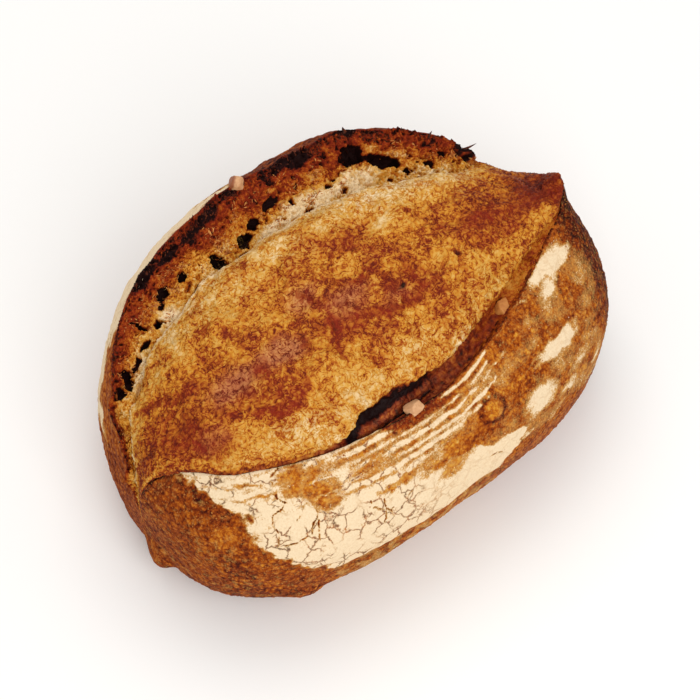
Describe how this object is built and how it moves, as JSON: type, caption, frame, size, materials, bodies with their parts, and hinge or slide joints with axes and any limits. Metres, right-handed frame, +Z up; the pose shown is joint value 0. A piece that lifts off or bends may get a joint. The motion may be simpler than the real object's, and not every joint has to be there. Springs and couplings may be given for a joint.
{
  "type": "walnut bread loaf",
  "caption": "Oval sourdough walnut bread with one long score, a torn ear along its rim, a floured side and walnut pieces set in the crust.",
  "frame": {"origin": "on the surface that the loaf stands on, under the middle of its box", "axes": "+X along the loaf to the end with the horn, +Y to the side of the ear, +Z up"},
  "size_m": [0.2529, 0.1872, 0.1181],
  "materials": {
    "crust": "baked bread crust, golden to dark brown, flour dusted on one side, dry and porous",
    "walnut": "toasted walnut kernel, pale tan, dry"
  },
  "bodies": {
    "root": {"loaf": "crust", "walnut_rim": "walnut", "walnut_ledge": "walnut", "walnut_end": "walnut"}
  },
  "joints": []
}
